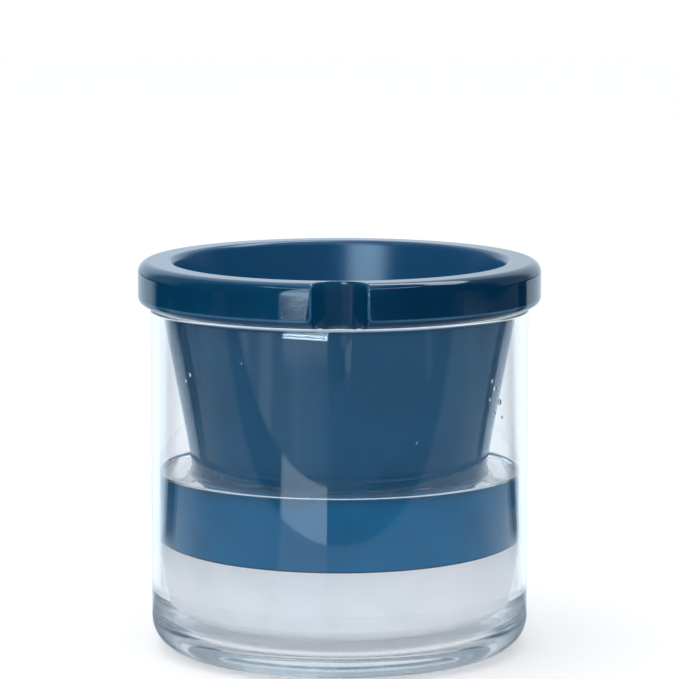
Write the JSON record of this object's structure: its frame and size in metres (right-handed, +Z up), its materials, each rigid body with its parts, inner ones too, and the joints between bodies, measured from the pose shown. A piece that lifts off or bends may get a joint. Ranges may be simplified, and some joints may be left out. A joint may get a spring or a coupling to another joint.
{
  "type": "self-watering plant pot",
  "caption": "Tapered clay pot with a thick glazed rim and a filling notch, hung by its rim in a round clear glass water vessel.",
  "frame": {"origin": "centre of the vessel's foot, on the surface that it stands on", "axes": "+Z up along the common axis of the vessel and the pot; the filling notch faces -Y"},
  "size_m": [0.18, 0.1791, 0.1744],
  "materials": {
    "clear_glass": "clear, fire-polished",
    "bare_clay": "matte, unglazed",
    "blue_glaze": "glossy glaze"
  },
  "bodies": {
    "vessel": {"glass_vessel": "clear_glass"},
    "pot": {"clay_pot": "bare_clay", "blue_glaze": "blue_glaze"}
  },
  "joints": [
    {"name": "pot_lift", "type": "slide", "parent": "vessel", "child": "pot", "axis": [0, 0, 1], "range_m": [0, 0.18]}
  ]
}
